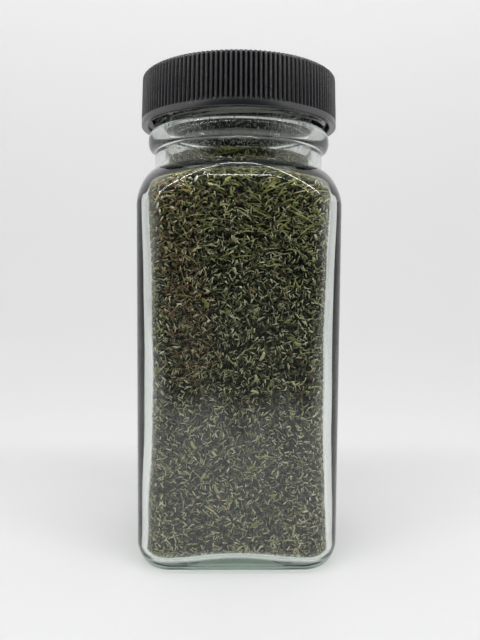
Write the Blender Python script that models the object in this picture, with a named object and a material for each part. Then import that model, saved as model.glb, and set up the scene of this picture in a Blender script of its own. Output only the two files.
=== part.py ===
"""Square glass spice jar packed with dried dill, closed by a ribbed screw cap.

The jar stands on the origin, +Z up, with its flat sides square to X and Y and its front facing -Y.
Driving dimensions are in millimetres, and MM turns them into metres.
"""

import math
import random

import bmesh
import bpy
import numpy as np
from mathutils import Vector
from mathutils.geometry import delaunay_2d_cdt

MM = 0.001

# Clearance kept between two separate pieces that touch on the real jar
GAP = 0.3

# Jar body
BODY_WIDTH = 44.8
BODY_CORNER = 8.0
HEEL_HEIGHT = 5.0
HEEL_INSET = 3.6
SHOULDER_BOTTOM = 80.2
SHOULDER_TOP = 89.3
SHOULDER_ROUNDNESS = 1.9
SHOULDER_CORNER_GROWTH = 1.35

# Base: the flat that it stands on, and the round recess inside that flat
BASE_RECESS = 1.1
BASE_RECESS_RADIUS = 12.0
BASE_RECESS_SLOPE = 0.8

# Neck, transfer bead and lip
NECK_RADIUS = 19.85
BEAD_RADIUS = 21.45
BEAD_BOTTOM = 93.9
BEAD_TOP = 98.2
LIP_TOP = 108.2
LIP_ROUNDING = 0.8
MOUTH_RADIUS = 17.5

# Inside of the jar
WALL_AT_SHOULDER = 2.5
WALL_AT_MIDDLE = 3.1
WALL_AT_FLOOR = 2.1
WALL_BULGE = 1.2
CAVITY_CORNER = 5.0
FLOOR_HEIGHT = 3.2
FLOOR_ROUNDING = 2.4
FLOOR_PUSH_UP = 1.2
CAVITY_SHOULDER_BOTTOM = 80.3
CAVITY_SHOULDER_TOP = 88.2
CAVITY_SHOULDER_ROUNDNESS = 2.4
CAVITY_CORNER_GROWTH = 3.0

# Right-handed screw thread, shared by the neck and the cap
LEAD = 4.23
THREAD_START_HEIGHT = 99.3
THREAD_START_ANGLE = math.radians(218.0)
NECK_THREAD_TURNS = 1.6
NECK_THREAD_RADIUS = 21.0
NECK_THREAD_ROOT_HALF = 1.0
NECK_THREAD_CREST_HALF = 0.55
CAP_THREAD_FIRST_TURN = 0.8
CAP_THREAD_TURNS = 1.0
CAP_THREAD_RADIUS = 20.4
CAP_THREAD_ROOT_HALF = 0.7
CAP_THREAD_CREST_HALF = 0.4
THREAD_STEPS_PER_TURN = 30
THREAD_SINK = 0.45
THREAD_END_FULLNESS = 0.45

# Cap
CAP_RIM_HEIGHT = 99.4
CAP_TOP_HEIGHT = 111.0
CAP_RIM_RADIUS = 23.0
CAP_TOP_RADIUS = 22.7
CAP_FLAT_RADIUS = 21.8
CAP_EDGE_HEIGHT = 0.9
CAP_BORE_RADIUS = 21.45
CAP_TOP_THICKNESS = 1.4
BAND_HEIGHT = 1.4
RIB_COUNT = 136
RIB_DEPTH = 0.5
LINER_RADIUS = 21.0
LINER_THICKNESS = 0.8

# Dried dill: bits larger than life, as ridges on the packed mass
DILL_EDGE_HEIGHT = 92.4
DILL_NECK_HEIGHT = 87.6
DILL_HEAP = 2.0
DILL_RIPPLE = 0.4
DILL_NECK_SLACK = 0.7
DILL_GIRTH = 150.0
DILL_RIM_POINTS = 36
DILL_SEAM_STEP = 5.0
BIT_LENGTHS = (4.5, 8.0)
BIT_SPACING = 1.75
VALLEY_REACH = 0.55
BIT_CREST_INSET = 0.35
BIT_VALLEY_INSET = 1.7
BIT_RIM_INSET = 1.1
TRIES_PER_MM2 = 0.7
SEED = 27

# Points round one ring
POINTS_PER_QUARTER = 10
CAP_POINTS_PER_RIB = 2
CAP_BORE_POINTS = RIB_COUNT * CAP_POINTS_PER_RIB // 4


def clear_scene():
    """Remove whatever the start-up scene holds."""
    for obj in list(bpy.data.objects):
        bpy.data.objects.remove(obj, do_unlink=True)


def make_material(name, colour, roughness, transmission=0.0):
    """A Principled material with a linear RGB colour."""
    material = bpy.data.materials.new(name)
    material.use_nodes = True
    shader = material.node_tree.nodes["Principled BSDF"]
    shader.inputs["Base Color"].default_value = (*colour, 1.0)
    shader.inputs["Roughness"].default_value = roughness
    shader.inputs["Metallic"].default_value = 0.0
    shader.inputs["Transmission Weight"].default_value = transmission
    material.diffuse_color = (*colour, 1.0)
    return material


def make_object(name, bm, material):
    """A smooth-shaded object from a finished bmesh in millimetres."""
    bmesh.ops.recalc_face_normals(bm, faces=bm.faces)
    bmesh.ops.scale(bm, vec=(MM, MM, MM), verts=bm.verts)
    mesh = bpy.data.meshes.new(name)
    bm.to_mesh(mesh)
    bm.free()
    mesh.materials.append(material)
    mesh.shade_smooth()
    mesh.set_sharp_from_angle(angle=math.radians(40.0))
    obj = bpy.data.objects.new(name, mesh)
    bpy.context.scene.collection.objects.link(obj)
    return obj


def fuse(body, piece):
    """Join a piece to body with a Boolean union, then remove the piece."""
    union = body.modifiers.new("union", "BOOLEAN")
    union.operation = "UNION"
    union.object = piece
    graph = bpy.context.evaluated_depsgraph_get()
    fused = bpy.data.meshes.new_from_object(body.evaluated_get(graph))
    body.modifiers.remove(union)
    fused.name = body.name
    body.data = fused
    bpy.data.objects.remove(piece, do_unlink=True)


def jar_angles():
    """Angles round the jar, closer together at its four corners, with one at the middle of each side."""
    angles = []
    for quarter in range(4):
        for step in range(POINTS_PER_QUARTER):
            t = 2.0 * step / POINTS_PER_QUARTER - 1.0
            offset = math.radians(45.0) * (0.6 * t + 0.4 * t**3)
            angles.append(math.radians(45.0 + 90.0 * quarter) + offset)
    return angles


def even_angles(count):
    """Evenly spread angles, starting on +X."""
    return [2.0 * math.pi * index / count for index in range(count)]


def square_reach(half, corner, angle):
    """Distance from the axis to a square with round corners, along one direction."""
    c = abs(math.cos(angle))
    s = abs(math.sin(angle))
    straight = half - corner
    flat = half / max(c, s)
    if flat * min(c, s) <= straight:
        return flat
    across = straight * (c + s)
    return across + math.sqrt(max(across * across - 2.0 * straight * straight + corner * corner, 0.0))


def square_ring(bm, half, corner, height, angles):
    """One ring of points on a square with round corners; a corner as large as half gives a circle."""
    corner = min(corner, half)
    ring = []
    for angle in angles:
        reach = square_reach(half, corner, angle)
        ring.append(bm.verts.new((reach * math.cos(angle), reach * math.sin(angle), height)))
    return ring


def round_ring(bm, radius, height, count):
    """One ring of evenly spread points on a circle."""
    return square_ring(bm, radius, radius, height, even_angles(count))


def skin(bm, lower, upper):
    """Faces between two rings with the same number of points."""
    for index in range(len(lower)):
        after = (index + 1) % len(lower)
        bm.faces.new((lower[index], lower[after], upper[after], upper[index]))


def stitch(bm, coarse, fine):
    """Faces between a ring and one that has a whole number of times its points."""
    ratio = len(fine) // len(coarse)
    for index in range(len(coarse)):
        after = (index + 1) % len(coarse)
        first = index * ratio
        half = first + ratio // 2
        for step in range(first, first + ratio):
            corner = coarse[index] if step < half else coarse[after]
            bm.faces.new((corner, fine[step], fine[(step + 1) % len(fine)]))
        bm.faces.new((coarse[index], fine[half], coarse[after]))


def loft(bm, rings):
    """A closed surface through a list of equal rings, with both ends filled."""
    for lower, upper in zip(rings, rings[1:]):
        skin(bm, lower, upper)
    bm.faces.new(list(reversed(rings[0])))
    bm.faces.new(rings[-1])


def shoulder_section(fraction, half, corner, neck_radius, roundness, corner_growth):
    """Half width and corner radius part of the way up a shoulder, from square body to round neck."""
    fall = (1.0 - fraction**roundness) ** (1.0 / roundness)
    drawn_half = neck_radius + (half - neck_radius) * fall
    drawn_corner = corner + (neck_radius - corner) * fraction**corner_growth
    return drawn_half, min(drawn_corner, drawn_half)


def spaced(first, last, steps):
    """Evenly spaced values from first to last, both included."""
    return [first + (last - first) * step / steps for step in range(steps + 1)]


def outer_sections():
    """Sections of the jar's outside, from the base to the lip, as (half width, corner radius, height)."""
    body_half = BODY_WIDTH / 2.0
    recess_top = BASE_RECESS_RADIUS - BASE_RECESS_SLOPE
    sections = [
        (recess_top, recess_top, BASE_RECESS),
        (BASE_RECESS_RADIUS - BASE_RECESS_SLOPE / 4.0, BASE_RECESS_RADIUS, BASE_RECESS * 0.7),
        (BASE_RECESS_RADIUS, BASE_RECESS_RADIUS, 0.0),
    ]
    for turn in spaced(0.0, 90.0, 5):
        rise = 1.0 - math.cos(math.radians(turn))
        inset = HEEL_INSET * (1.0 - math.sin(math.radians(turn))) ** 0.8
        sections.append((body_half - inset, BODY_CORNER - inset, HEEL_HEIGHT * rise))
    for fraction in spaced(0.0, 1.0, 7):
        half, corner = shoulder_section(
            fraction, body_half, BODY_CORNER, NECK_RADIUS, SHOULDER_ROUNDNESS, SHOULDER_CORNER_GROWTH
        )
        height = SHOULDER_BOTTOM + (SHOULDER_TOP - SHOULDER_BOTTOM) * fraction
        sections.append((half, corner, height))
    sections.append((NECK_RADIUS, NECK_RADIUS, BEAD_BOTTOM))
    for turn in spaced(20.0, 160.0, 4):
        swell = math.sin(math.radians(turn)) ** 0.6
        radius = NECK_RADIUS + (BEAD_RADIUS - NECK_RADIUS) * swell
        height = BEAD_BOTTOM + (BEAD_TOP - BEAD_BOTTOM) * (1.0 - math.cos(math.radians(turn))) / 2.0
        sections.append((radius, radius, height))
    sections.append((NECK_RADIUS, NECK_RADIUS, BEAD_TOP))
    for turn in (0.0, 45.0, 90.0):
        inset = LIP_ROUNDING * (1.0 - math.cos(math.radians(turn)))
        height = LIP_TOP - LIP_ROUNDING * (1.0 - math.sin(math.radians(turn)))
        sections.append((NECK_RADIUS - inset, NECK_RADIUS - inset, height))
    return sections


def wall_thickness(height):
    """Thickness of the side wall: thickest half way up, thinner at the shoulder and near the floor."""
    middle = (FLOOR_HEIGHT + CAVITY_SHOULDER_BOTTOM) / 2.0
    side = WALL_AT_SHOULDER if height > middle else WALL_AT_FLOOR
    away = min(abs(height - middle) / (CAVITY_SHOULDER_BOTTOM - middle), 1.0)
    return side + (WALL_AT_MIDDLE - side) * math.cos(away * math.pi / 2.0) ** WALL_BULGE


def cavity_section(height):
    """Half width and corner radius of the jar's inside at one height."""
    half = BODY_WIDTH / 2.0 - wall_thickness(height)
    if height <= CAVITY_SHOULDER_BOTTOM:
        return half, CAVITY_CORNER
    fraction = (height - CAVITY_SHOULDER_BOTTOM) / (CAVITY_SHOULDER_TOP - CAVITY_SHOULDER_BOTTOM)
    return shoulder_section(
        min(fraction, 1.0), half, CAVITY_CORNER, MOUTH_RADIUS, CAVITY_SHOULDER_ROUNDNESS, CAVITY_CORNER_GROWTH
    )


def floor_level(away):
    """Height of the jar's inner floor, pushed up towards its middle."""
    edge = cavity_section(FLOOR_HEIGHT)[0] - FLOOR_ROUNDING
    return FLOOR_HEIGHT + FLOOR_PUSH_UP * (1.0 - min(away / edge, 1.0) ** 2)


def inner_sections():
    """Sections of the jar's inside from the lip down to the floor's centre."""
    sections = []
    for turn in (90.0, 45.0, 0.0):
        spread = LIP_ROUNDING * (1.0 - math.cos(math.radians(turn)))
        height = LIP_TOP - LIP_ROUNDING * (1.0 - math.sin(math.radians(turn)))
        sections.append((MOUTH_RADIUS + spread, MOUTH_RADIUS + spread, height))
    for height in spaced(CAVITY_SHOULDER_TOP, CAVITY_SHOULDER_BOTTOM, 5):
        sections.append((*cavity_section(height), height))
    for height in spaced(CAVITY_SHOULDER_BOTTOM, FLOOR_HEIGHT + FLOOR_ROUNDING, 4)[1:]:
        sections.append((*cavity_section(height), height))
    half, corner = cavity_section(FLOOR_HEIGHT)
    for turn in (30.0, 60.0, 90.0):
        inset = FLOOR_ROUNDING * (1.0 - math.cos(math.radians(turn)))
        height = FLOOR_HEIGHT + FLOOR_ROUNDING * (1.0 - math.sin(math.radians(turn)))
        sections.append((half - inset, corner - inset, height))
    for share in (0.7, 0.4, 0.15):
        sections.append((half * share, half * share / 2.0, floor_level(half * share)))
    return sections


def helix_ridge(name, root_radius, crest_radius, root_half, crest_half, first_turn, turns, drop, material):
    """A screw-thread ridge, trapezoid in section, that climbs one lead a turn and is blunt at both ends."""
    bm = bmesh.new()
    steps = round(turns * THREAD_STEPS_PER_TURN)
    sections = []
    for step in range(steps + 1):
        turn = first_turn + turns * step / steps
        angle = THREAD_START_ANGLE + 2.0 * math.pi * turn
        height = THREAD_START_HEIGHT + LEAD * turn - drop
        fullness = THREAD_END_FULLNESS if step in (0, steps) else 1.0
        crest = root_radius + (crest_radius - root_radius) * fullness
        corners = (
            (root_radius, -root_half * fullness),
            (crest, -crest_half * fullness),
            (crest, crest_half * fullness),
            (root_radius, root_half * fullness),
        )
        sections.append(
            [bm.verts.new((r * math.cos(angle), r * math.sin(angle), height + dz)) for r, dz in corners]
        )
    for before, after in zip(sections, sections[1:]):
        skin(bm, before, after)
    bm.faces.new(sections[0])
    bm.faces.new(sections[-1])
    return make_object(name, bm, material)


def build_jar():
    """The glass jar, with the thread fused to its neck."""
    glass = make_material("clear_glass", (0.80, 0.87, 0.84), 0.03, transmission=1.0)
    bm = bmesh.new()
    angles = jar_angles()
    sections = outer_sections() + inner_sections()
    loft(bm, [square_ring(bm, half, corner, height, angles) for half, corner, height in sections])
    jar = make_object("jar_glass", bm, glass)
    thread = helix_ridge(
        "neck_thread",
        NECK_RADIUS - THREAD_SINK,
        NECK_THREAD_RADIUS,
        NECK_THREAD_ROOT_HALF,
        NECK_THREAD_CREST_HALF,
        0.0,
        NECK_THREAD_TURNS,
        0.0,
        glass,
    )
    fuse(jar, thread)
    return jar


def ribbed_ring(bm, crest_radius, depth, height):
    """One ring round the ribs, with alternate points on a crest and in a groove."""
    angles = even_angles(RIB_COUNT * CAP_POINTS_PER_RIB)
    ring = []
    for index, angle in enumerate(angles):
        radius = crest_radius - depth * (index % CAP_POINTS_PER_RIB)
        ring.append(bm.verts.new((radius * math.cos(angle), radius * math.sin(angle), height)))
    return ring


def build_cap():
    """The screw cap: ribbed skirt over a plain band, flat top, plain bore with one turn of thread."""
    plastic = make_material("black_plastic", (0.012, 0.012, 0.013), 0.42)
    bm = bmesh.new()
    band_top = CAP_RIM_HEIGHT + BAND_HEIGHT
    edge_bottom = CAP_TOP_HEIGHT - CAP_EDGE_HEIGHT
    bore_top = CAP_TOP_HEIGHT - CAP_TOP_THICKNESS

    foot = round_ring(bm, CAP_RIM_RADIUS - 0.15, CAP_RIM_HEIGHT, CAP_BORE_POINTS)
    band = round_ring(bm, CAP_RIM_RADIUS, CAP_RIM_HEIGHT + 0.2, CAP_BORE_POINTS)
    rib_levels = [
        ribbed_ring(bm, CAP_RIM_RADIUS, 0.0, band_top),
        ribbed_ring(bm, CAP_RIM_RADIUS, RIB_DEPTH, band_top + RIB_DEPTH),
        ribbed_ring(bm, CAP_TOP_RADIUS, RIB_DEPTH, edge_bottom),
        ribbed_ring(bm, CAP_TOP_RADIUS - 0.35, 0.0, edge_bottom + CAP_EDGE_HEIGHT * 0.7),
    ]
    flat = round_ring(bm, CAP_FLAT_RADIUS, CAP_TOP_HEIGHT, CAP_BORE_POINTS)
    skin(bm, foot, band)
    stitch(bm, band, rib_levels[0])
    for lower, upper in zip(rib_levels, rib_levels[1:]):
        skin(bm, lower, upper)
    stitch(bm, flat, rib_levels[-1])
    bm.faces.new(flat)

    mouth = round_ring(bm, CAP_BORE_RADIUS + 0.4, CAP_RIM_HEIGHT, CAP_BORE_POINTS)
    bore_bottom = round_ring(bm, CAP_BORE_RADIUS, CAP_RIM_HEIGHT + 0.4, CAP_BORE_POINTS)
    bore_end = round_ring(bm, CAP_BORE_RADIUS, bore_top, CAP_BORE_POINTS)
    skin(bm, foot, mouth)
    skin(bm, mouth, bore_bottom)
    skin(bm, bore_bottom, bore_end)
    bm.faces.new(bore_end)
    cap = make_object("screw_cap", bm, plastic)

    below_neck_thread = NECK_THREAD_ROOT_HALF + CAP_THREAD_ROOT_HALF + GAP
    thread = helix_ridge(
        "cap_thread",
        CAP_BORE_RADIUS + THREAD_SINK,
        CAP_THREAD_RADIUS,
        CAP_THREAD_ROOT_HALF,
        CAP_THREAD_CREST_HALF,
        CAP_THREAD_FIRST_TURN,
        CAP_THREAD_TURNS,
        below_neck_thread,
        plastic,
    )
    fuse(cap, thread)
    return cap


def build_liner():
    """The sealing disc, between the lip and the underside of the cap's top."""
    foam = make_material("white_foam_liner", (0.80, 0.79, 0.75), 0.6)
    bm = bmesh.new()
    bottom = LIP_TOP + GAP
    loft(
        bm,
        [
            round_ring(bm, LINER_RADIUS, bottom, CAP_BORE_POINTS),
            round_ring(bm, LINER_RADIUS, bottom + LINER_THICKNESS, CAP_BORE_POINTS),
        ],
    )
    return make_object("cap_liner", bm, foam)


def dill_section(height, inset):
    """Half width and corner radius of the packed dill at one height, some way in from the glass."""
    under_shoulder = min(max(height - CAVITY_SHOULDER_BOTTOM, 0.0), 1.0)
    half, corner = cavity_section(height + under_shoulder)
    into_rounding = max(FLOOR_HEIGHT + FLOOR_ROUNDING + GAP - height, 0.0) / FLOOR_ROUNDING
    lean = min(into_rounding, 1.0)
    floor_inset = FLOOR_ROUNDING * (1.0 - math.sqrt(1.0 - lean * lean))
    into_neck = (height - CAVITY_SHOULDER_BOTTOM) / (CAVITY_SHOULDER_TOP - CAVITY_SHOULDER_BOTTOM)
    slack = DILL_NECK_SLACK * min(max(into_neck - 0.3, 0.0) / 0.5, 1.0)
    half = half - inset - floor_inset - slack
    corner = max(corner - inset - floor_inset * 0.5, 1.0)
    return half, min(corner, half)


def side_place(flat, inset):
    """A point behind the glass; flat is (distance round the jar, height)."""
    angle = 2.0 * math.pi * flat[0] / DILL_GIRTH
    half, corner = dill_section(flat[1], inset)
    reach = square_reach(half, corner, angle)
    return reach * math.cos(angle), reach * math.sin(angle), flat[1]


def top_place(flat, inset):
    """A point of the loose heap in the neck, a low rippled dome; flat is (x, y)."""
    away = math.hypot(*flat) / MOUTH_RADIUS
    ripple = DILL_RIPPLE * math.sin(0.55 * flat[0] + 1.0) * math.cos(0.47 * flat[1] - 0.4)
    height = DILL_EDGE_HEIGHT + DILL_HEAP * (1.0 - away * away) + ripple * (1.0 - away)
    return flat[0], flat[1], height + BIT_VALLEY_INSET - inset


def floor_place(flat, inset):
    """A point of the dill's underside, over the pushed-up floor; flat is (x, y)."""
    return flat[0], flat[1], floor_level(max(abs(flat[0]), abs(flat[1]))) + inset


def gap_to(points, places):
    """Smallest distance from any of the places to any of the points."""
    if not points:
        return math.inf
    apart = np.array(places)[:, None, :] - np.array(points)[None, :, :]
    return float(np.sqrt((apart**2).sum(axis=2)).min())


def scatter_bits(rng, width, height, is_free):
    """Straight bits laid at random on a flat rectangle, clear of each other: pairs of ends, and samples."""
    bits = []
    samples = []
    for _ in range(round(width * height * TRIES_PER_MM2)):
        middle = np.array((rng.uniform(-width / 2.0, width / 2.0), rng.uniform(-height / 2.0, height / 2.0)))
        heading = rng.uniform(0.0, math.pi)
        reach = rng.uniform(*BIT_LENGTHS) / 2.0
        along = reach * np.array((math.cos(heading), math.sin(heading)))
        line = [middle + along * share for share in (-1.0, -0.5, 0.0, 0.5, 1.0)]
        if all(is_free(place) for place in line) and gap_to(samples, line) > BIT_SPACING:
            bits.append((line[0], line[-1]))
            samples.extend(line)
    return bits, samples


def scatter_valleys(bits, samples, is_free):
    """Low points on both sides and past both ends of each bit, wherever there is room for one."""
    valleys = []
    for start, end in bits:
        along = (end - start) / np.linalg.norm(end - start)
        across = np.array((-along[1], along[0])) * BIT_SPACING * VALLEY_REACH
        beyond = along * BIT_SPACING * VALLEY_REACH
        middle = (start + end) / 2.0
        for place in (middle + across, middle - across, start - beyond, end + beyond):
            clear_of_bits = gap_to(samples, [place]) > BIT_SPACING * 0.45
            if clear_of_bits and gap_to(valleys, [place]) > BIT_SPACING * 0.6 and is_free(place):
                valleys.append(place)
    return valleys


def relief_patch(bm, rng, rim, width, height, is_free, place):
    """A patch of the dill's skin: bits stand up as ridges, and the faces between them fall to low points."""
    bits, samples = scatter_bits(rng, width, height, is_free)
    flat = [Vector(point) for point, _ in rim]
    verts = [vert for _, vert in rim]
    ridges = []
    for start, end in bits:
        ridges.append((len(flat), len(flat) + 1))
        for point in (start, end):
            flat.append(Vector(point))
            verts.append(bm.verts.new(place(point, BIT_CREST_INSET + rng.uniform(0.0, 0.2))))
    for point in scatter_valleys(bits, samples, is_free):
        flat.append(Vector(point))
        verts.append(bm.verts.new(place(point, BIT_VALLEY_INSET + rng.uniform(-0.2, 0.2))))
    result = delaunay_2d_cdt(flat, ridges, [], 0, 1e-6)
    source = [origin[0] for origin in result[3]]
    for face in result[2]:
        bm.faces.new([verts[source[index]] for index in face])


def rim_ring(bm, height):
    """A ring of points round the dill, where two patches of its skin meet."""
    return [bm.verts.new(side_place((turn, height), BIT_RIM_INSET)) for turn in rim_turns()]


def rim_turns():
    """Distances round the jar of the points in a ring."""
    return [(step / DILL_RIM_POINTS - 0.5) * DILL_GIRTH for step in range(DILL_RIM_POINTS)]


def side_patch(bm, rng, low, high, low_ring, high_ring):
    """The dill's skin all round between two heights, unrolled flat and closed along one seam."""
    half_girth = DILL_GIRTH / 2.0
    half_tall = (high - low) / 2.0
    middle = (low + high) / 2.0
    rim = []
    for level, ring in ((-half_tall, low_ring), (half_tall, high_ring)):
        rim.extend(((turn, level), vert) for turn, vert in zip(rim_turns(), ring))
        rim.append(((half_girth, level), ring[0]))
    for level in spaced(-half_tall, half_tall, round(2.0 * half_tall / DILL_SEAM_STEP))[1:-1]:
        vert = bm.verts.new(side_place((half_girth, middle + level), BIT_VALLEY_INSET))
        rim.extend(((side * half_girth, level), vert) for side in (-1.0, 1.0))

    def is_free(point):
        clear_of_seam = abs(point[0]) < half_girth - BIT_SPACING
        return clear_of_seam and abs(point[1]) < half_tall - BIT_SPACING / 2.0

    def place(point, inset):
        return side_place((point[0], point[1] + middle), inset)

    relief_patch(bm, rng, rim, DILL_GIRTH, 2.0 * half_tall, is_free, place)


def end_patch(bm, rng, ring, place):
    """The dill's top or underside, inside one end ring."""
    rim = [((vert.co.x, vert.co.y), vert) for vert in ring]
    width = 2.0 * max(abs(vert.co.x) for vert in ring)
    reach = min(math.hypot(vert.co.x, vert.co.y) for vert in ring) - BIT_SPACING / 2.0

    def is_free(point):
        return math.hypot(*point) < reach

    relief_patch(bm, rng, rim, width, width, is_free, place)


def build_dill():
    """The packed dill: one body whose skin is a close scatter of ridges, larger than life, on all sides."""
    herb = make_material("dried_dill", (0.10, 0.11, 0.035), 0.8)
    rng = random.Random(SEED)
    bm = bmesh.new()
    levels = (FLOOR_HEIGHT + BIT_VALLEY_INSET, DILL_NECK_HEIGHT, DILL_EDGE_HEIGHT)
    foot, neck, edge = [rim_ring(bm, level) for level in levels]
    side_patch(bm, rng, levels[0], levels[1], foot, neck)
    side_patch(bm, rng, levels[1], levels[2], neck, edge)
    end_patch(bm, rng, edge, top_place)
    end_patch(bm, rng, foot, floor_place)
    dill = make_object("dried_dill", bm, herb)
    dill.data.shade_flat()
    return dill


def add_axis(name, height):
    """An empty on the cap's axis, which the cap and its liner turn and rise about."""
    axis = bpy.data.objects.new(name, None)
    axis.location = (0.0, 0.0, height * MM)
    axis.empty_display_size = 10.0 * MM
    bpy.context.scene.collection.objects.link(axis)
    return axis


def hang_on(axis, obj):
    """Parent an object to an axis without moving it."""
    obj.parent = axis
    obj.matrix_parent_inverse = axis.matrix_world.inverted()


def main():
    clear_scene()
    build_jar()
    build_dill()
    cap = build_cap()
    liner = build_liner()
    axis = add_axis("cap_axis", CAP_RIM_HEIGHT)
    bpy.context.view_layer.update()
    hang_on(axis, cap)
    hang_on(axis, liner)


main()
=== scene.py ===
"""Looks of a square glass spice jar packed with dried dill, under a ribbed black screw cap."""

import logging
import math
from collections.abc import Callable, Iterable
from dataclasses import dataclass, field
from enum import Enum

import bpy
import numpy as np
from bpy.types import Material, Node, NodeSocket, NodeTree, Object
from mathutils import Matrix, Vector


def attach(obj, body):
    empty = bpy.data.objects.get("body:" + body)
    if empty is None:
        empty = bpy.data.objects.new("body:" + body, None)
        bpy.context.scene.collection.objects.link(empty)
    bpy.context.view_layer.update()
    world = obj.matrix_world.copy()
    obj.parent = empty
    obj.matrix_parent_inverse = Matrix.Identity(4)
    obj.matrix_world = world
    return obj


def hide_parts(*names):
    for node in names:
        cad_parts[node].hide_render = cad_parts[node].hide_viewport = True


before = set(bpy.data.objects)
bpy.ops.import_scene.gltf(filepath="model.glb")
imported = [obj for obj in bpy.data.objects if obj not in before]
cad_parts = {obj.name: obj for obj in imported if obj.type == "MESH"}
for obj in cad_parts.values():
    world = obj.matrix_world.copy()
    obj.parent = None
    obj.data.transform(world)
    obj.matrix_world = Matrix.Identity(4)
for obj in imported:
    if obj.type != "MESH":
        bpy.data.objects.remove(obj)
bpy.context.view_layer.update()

MM = 0.001
LOG = logging.getLogger("dill_jar")


def linear(code: str) -> tuple[float, float, float, float]:
    """Turn an sRGB hex colour to linear RGBA.

    Args:
        code: Six hex digits, such as "5c6138".

    Returns:
        Red, green, blue and an alpha of one.
    """
    channels = [int(code[i : i + 2], 16) / 255.0 for i in (0, 2, 4)]
    flat = [c / 12.92 if c <= 0.04045 else ((c + 0.055) / 1.055) ** 2.4 for c in channels]
    return flat[0], flat[1], flat[2], 1.0


def add_node(
    tree: NodeTree, kind: str, inputs: dict[str | int, object] | None = None, **settings: object
) -> Node:
    """Add a node with its settings, its constants and its links.

    Args:
        tree: The shader or geometry tree that takes the node.
        kind: The node's type name.
        inputs: Socket name or number to a constant, or to the output socket to link from.
        settings: Properties of the node.

    Returns:
        The new node.
    """
    node = tree.nodes.new(kind)
    for name, value in settings.items():
        setattr(node, name, value)
    for name, value in (inputs or {}).items():
        socket = node.inputs[name]
        if isinstance(value, NodeSocket):
            tree.links.new(value, socket)
        else:
            socket.default_value = value
    return node


def smooth_step(low: float, high: float, value: np.ndarray | float) -> np.ndarray | float:
    """Ease from 0 at low to 1 at high."""
    share = np.clip((value - low) / (high - low), 0.0, 1.0)
    return share * share * (3.0 - 2.0 * share)


def mesh_object(name: str, points: np.ndarray, faces: list, material: Material) -> Object:
    """Make a smooth-shaded object at the origin.

    Args:
        name: The object's name.
        points: Points in millimetres, one row each.
        faces: Lists of point numbers.
        material: The object's only material.

    Returns:
        The new object, linked to the scene.
    """
    mesh = bpy.data.meshes.new(name)
    mesh.from_pydata((points * MM).tolist(), [], faces)
    mesh.validate()
    mesh.materials.append(material)
    mesh.shade_smooth()
    made = bpy.data.objects.new(name, mesh)
    bpy.context.scene.collection.objects.link(made)
    return made


def ring_faces(count: int, rings: int, flip: bool = False) -> list:
    """Quads between rings of points that follow one another.

    Args:
        count: Points in each ring.
        rings: Number of rings.
        flip: Turn the quads the other way round.

    Returns:
        Lists of point numbers.
    """
    lower = np.arange(count)
    after = (lower + 1) % count
    quads = []
    for ring in range(rings - 1):
        base = ring * count
        quad = np.stack([base + lower, base + after, base + count + after, base + count + lower], axis=1)
        quads.append(quad[:, ::-1] if flip else quad)
    return np.concatenate(quads).tolist()


def ring_at(reach: np.ndarray, angles: np.ndarray, height: float) -> np.ndarray:
    """One level ring of points, from its reach along each angle."""
    return np.stack([reach * np.cos(angles), reach * np.sin(angles), np.full_like(angles, height)], axis=1)


def quarter_arc(radius: float, degrees: Iterable[float]) -> list[tuple[float, float]]:
    """Points of an arc that rounds an edge: how far each lies in from the side and from the end."""
    return [(radius * (1.0 - math.cos(turn)), radius * (1.0 - math.sin(turn))) for turn in np.radians(degrees)]


def closed_skin(
    rings: list[np.ndarray], first_tip: tuple[float, ...], last_tip: tuple[float, ...], flip: bool = False
) -> tuple[np.ndarray, list]:
    """Join rings of points into a closed skin with a point at each end.

    Args:
        rings: The rings, each with the same number of points.
        first_tip: The point that closes the first ring.
        last_tip: The point that closes the last ring.
        flip: Turn the faces the other way round.

    Returns:
        The points and the lists of point numbers.
    """
    points = np.concatenate([*rings, [first_tip, last_tip]])
    count = len(rings[0])
    last = (len(rings) - 1) * count
    faces = ring_faces(count, len(rings), flip)
    for index in range(count):
        after = (index + 1) % count
        ends = ([len(points) - 2, after, index], [len(points) - 1, last + index, last + after])
        faces += [end[::-1] if flip else end for end in ends]
    return points, faces


def new_finish(name: str) -> tuple[Material, NodeTree, Node]:
    """Make a material, and return it with its tree and its plain shader."""
    material = bpy.data.materials.new(name)
    material.use_nodes = True
    return material, material.node_tree, material.node_tree.nodes["Principled BSDF"]


def name_inputs(tree: NodeTree, inputs: tuple[tuple[str, str], ...]) -> None:
    """Give a geometry tree its output and its inputs, each a name and a kind of socket."""
    tree.interface.new_socket("Geometry", in_out="OUTPUT", socket_type="NodeSocketGeometry")
    for name, kind in inputs:
        tree.interface.new_socket(name, in_out="INPUT", socket_type="NodeSocket" + kind)


def object_place(tree: NodeTree) -> NodeSocket:
    """Add the place on the object, in metres, that patterns read."""
    return add_node(tree, "ShaderNodeTexCoord").outputs["Object"]


def narrowing(
    fraction: float, half: float, corner: float, neck: float, roundness: float, growth: float
) -> tuple[float, float]:
    """Draw a round-cornered square in to a round neck.

    Args:
        fraction: Share of the way up the shoulder.
        half: Half width of the square.
        corner: Corner radius of the square.
        neck: Radius of the neck.
        roundness: Power of the shoulder's curve.
        growth: Power by which the corners grow round.

    Returns:
        Half width and corner radius there.
    """
    drawn_half = neck + (half - neck) * (1.0 - fraction**roundness) ** (1.0 / roundness)
    return drawn_half, min(corner + (neck - corner) * fraction**growth, drawn_half)


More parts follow.
